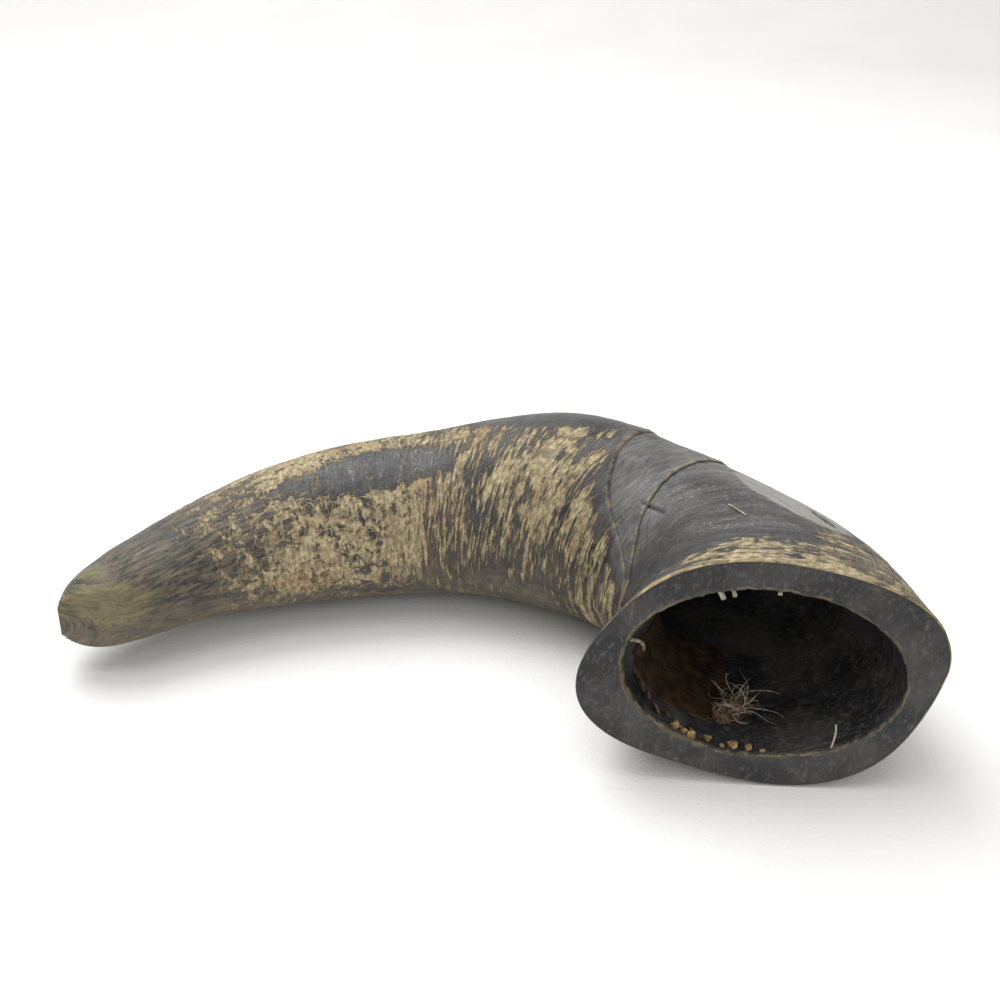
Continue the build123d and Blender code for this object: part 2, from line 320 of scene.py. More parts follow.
def read_field(field, station):
    """field has a row for each station of the survey; station has any number of rows."""
    last = len(STATIONS) - 1
    place = np.interp(station, STATIONS, np.arange(last + 1))
    low = np.clip(place.astype(int), 0, last - 1)
    t = place - low
    columns = np.broadcast_to(np.arange(field.shape[1]), station.shape)
    reads = [field[np.clip(low + k, 0, last), columns] for k in (-1, 0, 1, 2)]
    return catmull(reads, t)


COLUMNS = 312
TURNS = np.arange(COLUMNS) * 2 * math.pi / COLUMNS


def skin_field():
    """The skin without the lips of the layers, so that it is smooth to read anywhere."""
    layers = (STATIONS[:, None] > MIDDLE_RING).astype(float)
    layers += STATIONS[:, None] > TIP_RING
    plain = OUTER - LAYER_LIP * layers
    steady = smooth_rows(plain, 1.6)
    near_tip = step_up(STATIONS, TIP - 12 * MM, TIP - 6 * MM)[:, None]
    return fan_to_columns(steady * (1 - near_tip) + plain * near_tip, COLUMNS)


SKIN = skin_field()
CAVITY = fan_to_columns(smooth_rows(np.maximum(INNER, 0.5 * MM), 1.2), COLUMNS)
MIDDLE_LINE = fan_to_columns(MIDDLE_RING, COLUMNS)
TIP_LINE = fan_to_columns(TIP_RING, COLUMNS)
CAVITY_END = STATIONS[np.argmax((INNER.mean(1) < CAVITY_END_RADIUS) & (STATIONS > 0.1))]


def places(station, radius):
    """Points in the frame for rows of stations and radii, one column for each turn."""
    centre = along_centre_line(CENTRES, station)
    along = along_centre_line(ALONGS, station)
    along /= np.linalg.norm(along, axis=-1, keepdims=True)
    side = np.cross(along, (0, 0, 1))
    side /= np.linalg.norm(side, axis=-1, keepdims=True)
    top = np.cross(side, along)
    cosine, sine = np.cos(TURNS)[:, None], np.sin(TURNS)[:, None]
    return centre + radius[..., None] * (side * cosine + top * sine)


def grain_places(station, radius):
    """The same places on a horn laid out straight, for the grain of the materials."""
    return np.stack([station, radius * np.cos(TURNS), radius * np.sin(TURNS)], -1)


def add_attribute(mesh, name, values):
    if values.ndim == 2:
        layer = mesh.attributes.new(name, "FLOAT_VECTOR", "POINT")
        layer.data.foreach_set("vector", values.astype(np.float32).ravel())
    else:
        layer = mesh.attributes.new(name, "FLOAT", "POINT")
        layer.data.foreach_set("value", values.astype(np.float32).ravel())


def grid_piece(name, points, masks, materials):
    """A closed skin over rows of points. Each row is a ring, and the last row meets the first."""
    rows, columns = points.shape[:2]
    corner = np.arange(rows * columns).reshape(rows, columns)
    beside = np.roll(corner, -1, 1)
    ahead, ahead_beside = np.roll(corner, -1, 0), np.roll(beside, -1, 0)
    faces = np.stack([corner, beside, ahead_beside, ahead], -1).reshape(-1, 4)
    mesh = bpy.data.meshes.new(name)
    mesh.from_pydata(points.reshape(-1, 3).tolist(), [], faces.tolist())
    for key, values in masks.items():
        add_attribute(mesh, key, values.reshape(-1, 3) if values.ndim == 3 else values.ravel())
    mesh.polygons.foreach_set("use_smooth", [True] * len(mesh.polygons))
    mesh.polygons.foreach_set("material_index", np.repeat(materials, columns))
    ends = np.zeros(len(mesh.edges) * 2, int)
    mesh.edges.foreach_get("vertices", ends)
    edge_rows = ends.reshape(-1, 2) // columns
    creased = np.flatnonzero(materials != np.roll(materials, 1))
    sharp = (edge_rows[:, 0] == edge_rows[:, 1]) & np.isin(edge_rows[:, 0], creased)
    mesh.attributes.new("sharp_edge", "BOOLEAN", "EDGE").data.foreach_set("value", sharp)
    mesh.update()
    piece = bpy.data.objects.new(name, mesh)
    bpy.context.scene.collection.objects.link(piece)
    return piece


# ---------------------------------------------------------------- the skin's own relief


MASK_NAMES = ("crust", "polish", "ground", "fibrous", "below", "olive", "between", "web", "chip_and_painted_shade")


def skin_radius(station):
    return read_field(SKIN, station)


def growth_place(station):
    """Distance along the horn, bent so that the growth rings are at one value all round."""
    pull = (TIP_LINE.max() - TIP_LINE) * np.exp(-(((station - TIP_LINE) / (45 * MM)) ** 2))
    return station + pull


def region_masks(station):
    """How much of each kind of surface there is on the skin, by the names in MASK_NAMES.

    Places are in mm along the horn and in degrees round it.
    """
    turn = np.broadcast_to(TURNS, station.shape)
    degrees = np.degrees(turn)
    here = station / MM
    grain = grain_places(station, skin_radius(station))
    wander = rough_noise(grain, [9 * MM] * 3, 31) - 0.5
    patches = rough_noise(grain, [17 * MM] * 3, 37) - 0.5
    past_ring = (station - TIP_LINE) / MM + 22 * wander
    arm = step_up(past_ring, 1, 12) * (1 - step_up(here + 50 * wander, 178, 212))
    crest = spot(station, turn, 106, 66, 26 + 14 * wander, 32)
    gloss = spot(station, turn, 152, 114, 30 + 20 * wander, 20)
    ragged = rough_noise(grain, [2.4 * MM] * 3, 39) - 0.5
    rim_reach = here + 22 * wander + 18 * ragged + 0.09 * np.abs(degrees - 84)
    bell_crust = (1 - step_up(rim_reach, 8, 17)) * step_up(degrees + 60 * ragged, 30, 56)
    bell_crust *= 1 - step_up(degrees + 60 * wander, 128, 160)
    bell_side = (1 - step_up(here, 42, 60)) * spot(station, turn, 14, 28, 90, 48)
    polish = spot(station, turn, 36, 104, 30, 36) * step_up(rim_reach, 12, 20)
    between = step_up(here, 40, 52) * (1 - step_up(past_ring, -2, 8))
    ground = spot(station + 5 * MM * wander, turn + 0.3 * wander, 46, 56, 18, 22)
    below = np.exp(-(((degrees - 228) / 36) ** 2)) * step_up(here, 60, 90)
    crust = arm * (0.62 + 0.9 * patches - 0.75 * crest - 0.55 * gloss - 0.5 * below)
    crust += 0.8 * bell_crust + 0.45 * bell_side - 0.8 * polish * (1 - bell_crust) - 0.7 * ground
    olive = spot(station, turn, 229, 158, 12, 34) + spot(station, turn, 229, 96, 5, 26)
    web = step_up(here + 40 * wander, 128, 150) * (1 - step_up(here + 20 * wander, 196, 214))
    # Two chips, a deep one and a thin split. Their mask dents the skin, and the near-black colour
    # it brings in is painted shade in them.
    deep_chip_and_shade = spot(station, turn, 37, 54, 4.5, 3.2)
    shallow_chip_and_shade = 0.6 * spot(station, turn, 56, 130, 6, 1.4)
    return {
        "crust": crust,
        "polish": np.clip(polish + 0.8 * gloss + 0.4 * crest, 0, 1),
        "ground": ground,
        "fibrous": np.clip(step_up(here + 30 * wander, 160, 200) + 0.9 * bell_side, 0, 1),
        "below": below,
        "olive": np.clip(olive, 0, 1),
        "between": between,
        "web": web,
        "chip_and_painted_shade": np.maximum(deep_chip_and_shade, shallow_chip_and_shade),
    }


def skin_relief(station, radius, masks):
    """How far the worn surface stands off the smooth skin."""
    bent = growth_place(station)
    grain = np.stack([bent, radius * np.cos(TURNS), radius * np.sin(TURNS)], -1)
    ridges = rough_noise(grain, [2.2 * MM, 22 * MM, 22 * MM], 3) - 0.5
    lumps = rough_noise(grain, [14 * MM] * 3, 5, 2) - 0.5
    ragged = rough_noise(grain, [1.6 * MM, 7 * MM, 7 * MM], 9, 3)
    crusted = step_up(ragged + 0.35 * masks["crust"], 0.52, 0.66)
    fibres = rough_noise(grain, [14 * MM, 1.3 * MM, 1.3 * MM], 13, 2) - 0.5
    near_ring = np.exp(-(((bent - TIP_LINE.max()) / (26 * MM)) ** 2))
    relief = 0.5 * MM * lumps + 0.16 * MM * ridges * (0.5 + 2.2 * near_ring)
    relief += 0.13 * MM * crusted * (masks["crust"] > 0)
    relief += 0.16 * MM * fibres * masks["fibrous"]
    relief -= 0.9 * MM * masks["chip_and_painted_shade"] * (0.3 + ragged)
    return relief


def worn_skin(station, lip):
    """The worn skin's radius and masks. The relief fades out at the saw cut and the tip."""
    radius = skin_radius(station) + lip
    masks = region_masks(station)
    relief = skin_relief(station, radius, masks)
    fade = step_up(station, 0, 1.5 * MM) * (1 - step_up(station, TIP - 24 * MM, CAP_START))
    return radius + relief * fade, masks


# ---------------------------------------------------------------- the three growth cones

HIDDEN_ROWS = 24
CAP_ROWS = 46
FACE_ROWS = 24
EDGE_ROUND = 0.3 * MM
CAP_START = TIP - 13 * MM
BORE_MARGIN = 0.03 * MM  # the ray for the blow hole's edge runs this far outside the bore


def hidden_rows(line, end, depth_share):
    """Rows that dive from a ring line under the next layer, as far as a station."""
    dive_length, under_skin, widest_cavity_share = 12 * MM, 0.05 * MM, 0.7
    share = np.linspace(0, 1, HIDDEN_ROWS)[:, None]
    station = line + (end - line) * share**1.6
    skin = skin_radius(station)
    wall = read_field(CAVITY, station) * (station < CAVITY_END)
    wall = np.minimum(wall, skin * widest_cavity_share)
    sink = 1 - (1 - depth_share) * step_up(station - line, 0, dive_length)
    return station, (wall + (skin - wall) * sink) - under_skin


def blank_masks(grain):
    """The masks of a surface that is not worn skin: all 0, with the grain that is given."""
    masks = {name: np.zeros(grain.shape[:2]) for name in MASK_NAMES}
    masks["grain"] = grain
    masks["edge"] = np.zeros(grain.shape[:2])
    return masks


def join_rows(blocks):
    """Blocks of rows, each (points, masks, material index), as one grid."""
    points = np.concatenate([block[0] for block in blocks])
    masks = {key: np.concatenate([block[1][key] for block in blocks]) for key in blocks[0][1]}
    materials = np.concatenate([np.full(len(block[0]), block[2]) for block in blocks])
    return points, masks, materials


def full(station):
    """Stations with one column, or one for each turn, as a whole grid."""
    return np.broadcast_to(station, (len(station), COLUMNS)).copy()


def skin_block(start, end, rows, lip):
    """Worn skin from one line round the horn to another, with its first edge rounded."""
    share = np.linspace(0, 1, rows)[:, None]
    station = full(start + (end - start) * share)
    radius, masks = worn_skin(station, lip)
    masks["grain"] = grain_places(station, radius)
    from_edge = station - start
    masks["edge"] = 1 - step_up(from_edge, 0.1 * MM, 1.6 * MM)
    radius = radius - EDGE_ROUND * (1 - step_up(from_edge, 0, 2 * EDGE_ROUND)) ** 2
    return places(station, radius), masks, 0


def cavity_relief(station, radius):
    """Lumps and scrapes inside the horn, and a ragged line where the cavity meets the saw cut."""
    grain = grain_places(station, radius)
    lumps = rough_noise(grain, [11 * MM] * 3, 41, 3) - 0.5
    fine = rough_noise(grain, [3 * MM, 1.5 * MM, 1.5 * MM], 43, 2) - 0.5
    ragged = rough_noise(grain, [1.1 * MM] * 3, 47, 3) - 0.5
    at_rim = 1 - step_up(station, 0.3 * MM, 2.6 * MM)
    lumps = 0.9 * MM * lumps * step_up(station, 0, 6 * MM)
    return lumps + 0.2 * MM * fine + 0.75 * MM * ragged * at_rim


def cavity_block():
    """The cavity from its far end out to the saw cut. Its rows are closer near the bell."""
    near, far = 58 * MM, CAVITY_END
    rows = np.concatenate([np.linspace(far, near, 40)[:-1], np.linspace(near, 0, 74)])
    station = full(rows[:, None])
    radius = read_field(CAVITY, np.maximum(station, FACE_INSET))
    masks = blank_masks(grain_places(station, radius))
    masks["edge"] = 1 - step_up(station, 0.2 * MM, 1.4 * MM)
    radius = radius + cavity_relief(station, radius)
    return places(station, radius), masks, 2


def face_block(inner_ring, outer_ring):
    """The sawn face, between the cavity's last row and the skin's first, with saw marks."""
    share = np.linspace(0, 1, FACE_ROWS + 2)[1:-1, None, None]
    points = inner_ring + (outer_ring - inner_ring) * share
    facing = -ALONGS[0]
    lean, change_along_a_mark = 0.16, 0.03
    across = points[..., 0] - lean * points[..., 2]
    sawn = [across, points[..., 2] * change_along_a_mark, np.zeros_like(across)]
    sawn = np.stack(sawn, -1)
    marks = rough_noise(sawn, [0.9 * MM] * 3, 53, 3) - 0.5
    chatter = rough_noise(sawn, [6 * MM] * 3, 57, 2) - 0.5
    away_from_edges = np.sin(math.pi * share[..., 0]) ** 0.4
    depth = (0.16 * MM * marks + 0.3 * MM * chatter - 0.2 * MM) * away_from_edges
    points = points + facing * depth[..., None]
    masks = blank_masks(np.stack([across, points[..., 2], points[..., 1]], -1))
    inner = np.linalg.norm(points - inner_ring, axis=-1)
    masks["edge"] = 1 - step_up(inner, 0.2 * MM, 0.8 * MM)
    return points, masks, 1


def hidden_block(line, end, depth_share, forward=False):
    """The surface under the next layer, which runs back to the ring line if forward."""
    station, radius = hidden_rows(line, end, depth_share)
    station = full(station)
    points = places(station, radius)
    masks = blank_masks(grain_places(station, radius))
    if forward:
        return points[::-1], {key: rows[::-1] for key, rows in masks.items()}, 0
    return points, masks, 0


class Airway:
    """The straight hole from the blow hole on the tip to the end of the cavity."""

    def __init__(self):
        hole = mount("blow_hole")
        self.axis = Vector(hole["axis"]).normalized()
        self.middle = Vector(hole["pos_m"])
        self.radius = hole["dims"]["r_mm"] * MM
        side, top = axes_across(-self.axis)
        cosine, sine = np.cos(TURNS)[:, None], np.sin(TURNS)[:, None]
        self.spokes = cosine * np.array(side) + sine * np.array(top)
        self.mouth = self.find_mouth()

    def ring(self, depth):
        """A ring on the airway's wall, depth inwards from the mount's middle."""
        return np.array(self.middle - self.axis * depth) + self.spokes * self.radius

    def depth_at(self, station):
        """How deep the airway crosses the section at a station."""
        along = along_centre_line(ALONGS, station)
        off = along_centre_line(CENTRES, station) - np.array(self.middle)
        return -(off @ along) / (np.array(self.axis) @ along)

    def find_mouth(self):
        """The edge of the blow hole, where the airway comes out of the tip."""
        reach = 60 * MM
        edge = []
        for spoke in self.spokes * (self.radius + BORE_MARGIN):
            start = self.middle + self.axis * reach + Vector(spoke)
            edge.append(TREE.ray_cast(start, -self.axis, 2 * reach)[0])
        return np.array(edge)

    def block(self, depths):
        """The airway's wall through one cone, a row for each depth."""
        points = np.stack([self.ring(depth) for depth in depths])
        station = np.full(points.shape[:2], TIP - 20 * MM)
        grain = grain_places(station, np.full(points.shape[:2], self.radius))
        return points, blank_masks(grain), 2


def cap_block(airway, last_ring):
    """The rounded tip with its ground flat, from the skin's last ring to the blow hole's edge."""
    behind_mouth, reach = 9 * MM, 30 * MM
    inside = Vector(airway.mouth.mean(0)) - airway.axis * behind_mouth
    start = last_ring - np.array(inside)
    start /= np.linalg.norm(start, axis=1, keepdims=True)
    end = airway.mouth - np.array(inside)
    end /= np.linalg.norm(end, axis=1, keepdims=True)
    points = [last_ring]
    for share in np.linspace(0, 1, CAP_ROWS + 1)[1:-1]:
        ways = start * (1 - share) + end * share
        ways /= np.linalg.norm(ways, axis=1, keepdims=True)
        row = (points[-1] + airway.mouth) / 2
        for column, way in enumerate(ways):
            hits = ray_hits(inside, Vector(way), reach)
            if hits:
                row[column] = np.array(inside) + way * hits[-1][0]
        points.append(row)
    points = np.array([*points[1:], airway.mouth])
    gone = np.linalg.norm(np.diff(points, axis=0, prepend=[last_ring]), axis=-1).cumsum(0)
    station = CAP_START + gone
    on_horn = np.minimum(station, TIP)
    radius = np.linalg.norm(points - along_centre_line(CENTRES, on_horn), axis=-1)
    masks = region_masks(on_horn)
    masks["grain"] = grain_places(station, radius)
    masks["edge"] = np.zeros(station.shape)
    return points, masks, 0


# Each older cone covers the younger one's skin from a ring line on, and the younger one
# narrows under it to a share of its wall, and ends on the airway.
BASE_END, MIDDLE_END = 200 * MM, 222 * MM
BASE_DEPTH, MIDDLE_DEPTH = 0.45, 0.7
LIP_OVERLAP = 0.4 * MM
OUTER_DIVE, INNER_DIVE = 0.3 * MM, 0.6 * MM
END_GAP = 1 * MM

AIRWAY = Airway()
cavity = cavity_block()
base_skin = skin_block(np.zeros(COLUMNS), MIDDLE_LINE + LIP_OVERLAP, 150, 0)
base = join_rows([
    AIRWAY.block([AIRWAY.depth_at(s) for s in np.linspace(BASE_END, CAVITY_END + 5 * MM, 8)]),
    cavity,
    face_block(cavity[0][-1], base_skin[0][0]),
    base_skin,
    hidden_block(MIDDLE_LINE + INNER_DIVE, BASE_END - END_GAP, BASE_DEPTH),
])
middle = join_rows([
    AIRWAY.block([AIRWAY.depth_at(s) for s in np.linspace(MIDDLE_END, BASE_END + END_GAP, 6)]),
    hidden_block(MIDDLE_LINE + OUTER_DIVE, BASE_END, BASE_DEPTH, forward=True),
    skin_block(MIDDLE_LINE, TIP_LINE + LIP_OVERLAP, 64, LAYER_LIP),
    hidden_block(TIP_LINE + INNER_DIVE, MIDDLE_END - END_GAP, MIDDLE_DEPTH),
])
tip_skin = skin_block(TIP_LINE, np.full(COLUMNS, CAP_START), 206, 2 * LAYER_LIP)
tip_cap = cap_block(AIRWAY, tip_skin[0][-1])
mouth_depth = -((AIRWAY.mouth - np.array(AIRWAY.middle)) @ np.array(AIRWAY.axis)).min()
tip = join_rows([
    hidden_block(TIP_LINE + OUTER_DIVE, MIDDLE_END, MIDDLE_DEPTH, forward=True),
    tip_skin,
    tip_cap,
    AIRWAY.block(np.linspace(mouth_depth + 0.1 * MM, AIRWAY.depth_at(MIDDLE_END + END_GAP), 12)),
])
BASE_PIECE = grid_piece("base_growth_cone_worn", *base)
MIDDLE_PIECE = grid_piece("middle_growth_cone_worn", *middle)
TIP_PIECE = grid_piece("tip_growth_cone_worn", *tip)

# ---------------------------------------------------------------- materials


def colour(red, green, blue):
    """A screen colour from 0 to 255, as the linear colour that the shaders work in."""
    parts = [value / 255 for value in (red, green, blue)]
    linear = [v / 12.92 if v <= 0.04045 else ((v + 0.055) / 1.055) ** 2.4 for v in parts]
    return (*linear, 1.0)


class Shading:
    """A material's nodes, added one call at a time. A value is a number or a socket."""

    def __init__(self, name):
        self.material = bpy.data.materials.new(name)
        self.material.use_nodes = True
        self.tree = self.material.node_tree
        self.tree.nodes.clear()
        output = self.tree.nodes.new("ShaderNodeOutputMaterial")
        self.shader = self.tree.nodes.new("ShaderNodeBsdfPrincipled")
        self.tree.links.new(self.shader.outputs["BSDF"], output.inputs["Surface"])

    def put(self, value, socket):
        if isinstance(value, bpy.types.NodeSocket):
            self.tree.links.new(value, socket)
        else:
            socket.default_value = value

    def read(self, name, vector=False):
        node = self.tree.nodes.new("ShaderNodeAttribute")
        node.attribute_name = name
        return node.outputs["Vector" if vector else "Fac"]

    def object_place(self):
        return self.tree.nodes.new("ShaderNodeTexCoord").outputs["Object"]

    def stretch(self, vector, sizes):
        """The place measured in cells whose sides are sizes, in metres."""
        node = self.tree.nodes.new("ShaderNodeVectorMath")
        node.operation = "MULTIPLY"
        self.put(vector, node.inputs[0])
        node.inputs[1].default_value = [1 / size for size in sizes]
        return node.outputs[0]

    def noise(self, vector, sizes, detail=4.0, rough=0.55, warp=0.0):
        """Soft noise from 0 to 1, in cells whose sides are sizes, in metres."""
        node = self.tree.nodes.new("ShaderNodeTexNoise")
        self.put(self.stretch(vector, sizes), node.inputs["Vector"])
        node.inputs["Scale"].default_value = 1.0
        node.inputs["Detail"].default_value = detail
        node.inputs["Roughness"].default_value = rough
        node.inputs["Distortion"].default_value = warp
        return node.outputs["Fac"]

    def rippled(self, vector, sizes, ripple):
        """The place in cells of sizes, pushed about by noise whose cells are ripple across."""
        noise = self.tree.nodes.new("ShaderNodeTexNoise")
        noise.inputs["Scale"].default_value = 1.0
        noise.inputs["Detail"].default_value = 3.0
        self.put(self.stretch(vector, [ripple] * 3), noise.inputs["Vector"])
        moved = self.tree.nodes.new("ShaderNodeVectorMath")
        moved.operation = "ADD"
        self.put(self.stretch(vector, sizes), moved.inputs[0])
        self.put(noise.outputs["Color"], moved.inputs[1])
        return moved.outputs[0]

    def cracks(self, vector):
        node = self.tree.nodes.new("ShaderNodeTexVoronoi")
        node.feature = "DISTANCE_TO_EDGE"
        self.put(vector, node.inputs["Vector"])
        node.inputs["Scale"].default_value = 1.0
        return node.outputs["Distance"]

    def math(self, kind, first, second, clamp=False):
        node = self.tree.nodes.new("ShaderNodeMath")
        node.operation = kind
        node.use_clamp = clamp
        self.put(first, node.inputs[0])
        self.put(second, node.inputs[1])
        return node.outputs[0]

    def plus(self, first, second):
        return self.math("ADD", first, second)

    def times(self, first, second):
        return self.math("MULTIPLY", first, second)

    def step(self, value, low, high, to_low=0.0, to_high=1.0):
        node = self.tree.nodes.new("ShaderNodeMapRange")
        node.interpolation_type = "SMOOTHSTEP"
        for place, number in zip(range(5), (value, low, high, to_low, to_high)):
            self.put(number, node.inputs[place])
        return node.outputs[0]

    def mix(self, share, first, second):
        """Two colours mixed. The node's colours are sockets 6 and 7, and its result is 2."""
        node = self.tree.nodes.new("ShaderNodeMix")
        node.data_type = "RGBA"
        self.put(share, node.inputs[0])
        self.put(first, node.inputs[6])
        self.put(second, node.inputs[7])
        return node.outputs[2]

    def bump(self, height, distance):
        node = self.tree.nodes.new("ShaderNodeBump")
        node.inputs["Distance"].default_value = distance
        self.put(height, node.inputs["Height"])
        return node.outputs["Normal"]

    def finish(self, base, rough, normal, **more):
        self.put(base, self.shader.inputs["Base Color"])
        self.put(rough, self.shader.inputs["Roughness"])
        self.put(normal, self.shader.inputs["Normal"])
        for name, value in more.items():
            self.shader.inputs[name.replace("_", " ")].default_value = value
        return self.material


def horn_skin():
    """Dark horn with paler stretches, and a pale crust that has worn off it in streaks."""
    s = Shading("weathered_horn")
    grain = s.read("grain", vector=True)
    masks = {name: s.read(name) for name in (*MASK_NAMES, "edge")}
    clouds = s.noise(grain, [0.014] * 3, 5)
    fine = s.noise(grain, [0.0011, 0.0016, 0.0016], 4, 0.65)
    specks = s.noise(grain, [0.0008, 0.0008, 0.0008], 3, 0.6)
    around = s.noise(grain, [0.0008, 0.0052, 0.0052], 5, 0.62, 0.4)
    broad_around = s.noise(grain, [0.0032, 0.013, 0.013], 4, 0.62, 0.5)
    along = s.noise(grain, [0.017, 0.0009, 0.0009], 5, 0.65, 0.3)
    broad_along = s.noise(grain, [0.03, 0.0032, 0.0032], 4, 0.6, 0.4)
    blots = s.noise(grain, [0.0042, 0.003, 0.003], 5, 0.68, 0.6)
    worms = s.cracks(s.rippled(grain, [0.008, 0.0062, 0.0062], 0.0045))

    base = s.mix(s.step(clouds, 0.36, 0.64), colour(32, 31, 33), colour(64, 62, 61))
    base = s.mix(s.step(fine, 0.48, 0.72, 0, 0.5), base, colour(104, 102, 98))
    grey = s.mix(s.step(around, 0.35, 0.65), colour(78, 77, 78), colour(118, 115, 110))
    greyed = s.times(masks["between"], s.step(clouds, 0.3, 0.6, 0.45, 0.95))
    base = s.mix(greyed, base, grey)
    taupe = s.mix(s.step(blots, 0.35, 0.65), colour(96, 90, 82), colour(138, 126, 108))
    browned = s.times(masks["below"], s.step(broad_along, 0.3, 0.6, 0.45, 0.95))
    base = s.mix(browned, base, taupe)
    fibrous = s.times(masks["fibrous"], s.step(along, 0.42, 0.62, 0, 0.85))
    base = s.mix(fibrous, base, s.mix(broad_along, colour(70, 63, 50), colour(146, 131, 102)))
    stained = s.times(masks["olive"], s.step(along, 0.3, 0.6, 0.3, 0.8))
    base = s.mix(stained, base, colour(124, 114, 80))
    polished = s.mix(s.step(broad_around, 0.4, 0.65), colour(34, 33, 35), colour(68, 66, 66))
    speckled = s.times(s.step(specks, 0.55, 0.63), s.step(broad_around, 0.42, 0.62, 0, 0.8))
    polished = s.mix(speckled, polished, colour(150, 146, 136))
    base = s.mix(s.times(masks["polish"], 0.85), base, polished)
    scratched = s.mix(s.step(along, 0.35, 0.7), colour(122, 118, 113), colour(160, 156, 150))
    base = s.mix(s.step(masks["ground"], 0.35, 0.6, 0, 0.9), base, scratched)

    streaks = s.plus(s.times(around, 0.55), s.times(broad_around, 0.45))
    lines = s.step(worms, 0.01, 0.06, 0.56, 0.3)
    marks = s.plus(s.times(blots, 0.7), s.times(streaks, 0.3))
    marks = s.math("MAXIMUM", marks, lines)
    worn = s.plus(streaks, s.times(masks["web"], s.math("SUBTRACT", marks, streaks)))
    thick = s.plus(worn, s.times(s.math("SUBTRACT", masks["crust"], 0.42), 0.2))
    crusted = s.times(s.step(thick, 0.47, 0.56), s.step(masks["crust"], -0.05, 0.2))
    crust = s.mix(s.step(fine, 0.35, 0.7), colour(128, 114, 86), colour(200, 184, 146))
    crust = s.mix(s.step(clouds, 0.48, 0.7, 0, 0.45), crust, colour(150, 116, 78))
    base = s.mix(s.times(crusted, s.step(broad_along, 0.3, 0.5, 0.6, 0.95)), base, crust)
    lip = s.times(masks["edge"], s.step(blots, 0.42, 0.6, 0, 0.6))
    base = s.mix(lip, base, colour(160, 142, 108))
    # Painted shade: the chips are coloured near black, on top of their real dent.
    base = s.mix(s.step(masks["chip_and_painted_shade"], 0.2, 0.7, 0, 0.85), base, colour(24, 24, 26))

    rough = s.step(fine, 0.3, 0.7, 0.4, 0.6)
    rough = s.math("SUBTRACT", rough, s.times(masks["polish"], 0.14))
    rough = s.math("ADD", rough, s.times(crusted, 0.3), clamp=True)
    height = s.plus(crusted, s.times(around, 0.9))
    height = s.plus(height, s.times(s.times(along, masks["fibrous"]), 1.4))
    normal = s.bump(s.plus(height, s.times(fine, 0.8)), 0.00024)
    return s.finish(base, rough, normal, Specular_IOR_Level=0.45)


def sawn_horn():
    """The sawn face: fine saw marks across grey horn, paler at the cavity's edge."""
    s = Shading("sawn_horn")
    grain = s.read("grain", vector=True)
    marks = s.noise(grain, [0.0008, 0.05, 0.05], 4, 0.75)
    fine = s.noise(grain, [0.0004, 0.012, 0.012], 3, 0.6)
    clouds = s.noise(grain, [0.011, 0.02, 0.01], 3)
    base = s.mix(s.step(marks, 0.4, 0.6), colour(50, 47, 48), colour(90, 86, 84))
    base = s.mix(s.step(clouds, 0.45, 0.7, 0, 0.3), base, colour(96, 90, 84))
    base = s.mix(s.step(fine, 0.58, 0.78, 0, 0.55), base, colour(136, 131, 124))
    base = s.mix(s.step(s.read("edge"), 0.3, 1.0, 0, 0.7), base, colour(176, 166, 146))
    normal = s.bump(s.plus(marks, fine), 0.0003)
    return s.finish(base, s.step(fine, 0.2, 0.8, 0.55, 0.8), normal, Specular_IOR_Level=0.35)


def cavity_horn():
    """The inside: near black, which is painted shade deep in the hollow, with brown streaks and a
    pale line at the saw cut.
    """
    s = Shading("inside_of_horn_with_painted_shade")
    grain = s.read("grain", vector=True)
    clouds = s.noise(grain, [0.009] * 3, 4)
    streaks = s.noise(grain, [0.02, 0.0016, 0.0016], 4, 0.6)
    # Painted shade: the base is near black, as the deep hollow looks in shade.
    base = s.mix(s.step(clouds, 0.35, 0.7), colour(6, 6, 9), colour(15, 16, 21))
    base = s.mix(s.step(streaks, 0.55, 0.75, 0, 0.3), base, colour(58, 50, 42))
    base = s.mix(s.step(s.read("edge"), 0.2, 0.9, 0, 0.9), base, colour(196, 188, 170))
    normal = s.bump(s.plus(clouds, streaks), 0.0006)
    return s.finish(base, s.step(streaks, 0.3, 0.7, 0.35, 0.6), normal)


def tissue_like(name, dark, light, size, rough, **more):
    """Dried tissue, flake, fibre or burr: a colour that varies with its own grain."""
    s = Shading(name)
    place = s.object_place()
    clouds = s.noise(place, [size] * 3, 5, 0.62)
    fine = s.noise(place, [size * 0.22] * 3, 3, 0.6)
    base = s.mix(s.step(clouds, 0.34, 0.68), colour(*dark), colour(*light))
    palest = [min(255, value + 36) for value in light]
    base = s.mix(s.step(fine, 0.55, 0.8, 0, 0.4), base, colour(*palest))
    normal = s.bump(s.plus(clouds, fine), size * 0.12)
    return s.finish(base, s.step(fine, 0.3, 0.7, rough - 0.12, rough + 0.12), normal, **more)


SKIN_MATERIAL, SAWN, INSIDE = horn_skin(), sawn_horn(), cavity_horn()
MEMBRANE = tissue_like(
    "dried_membrane", (30, 21, 15), (84, 62, 42), 0.003, 0.5, Transmission_Weight=0.15
)
STRAND = tissue_like("membrane_strand", (120, 108, 88), (186, 176, 152), 0.002, 0.6)
FLAKE = tissue_like(
    "keratin_flake", (58, 44, 30), (140, 116, 84), 0.0022, 0.42, Transmission_Weight=0.2
)
CRUMB = tissue_like("tissue_crumb", (104, 78, 44), (188, 162, 112), 0.0012, 0.55)
TUFT = tissue_like("tuft_root", (44, 31, 22), (108, 82, 56), 0.0016, 0.65)
FIBRE = tissue_like("tissue_fibre", (132, 118, 96), (196, 184, 162), 0.0015, 0.5)
BURR = tissue_like("saw_burr", (120, 112, 98), (188, 180, 162), 0.001, 0.6)


def give(piece, *materials):
    piece.data.materials.clear()
    for material in materials:
        piece.data.materials.append(material)


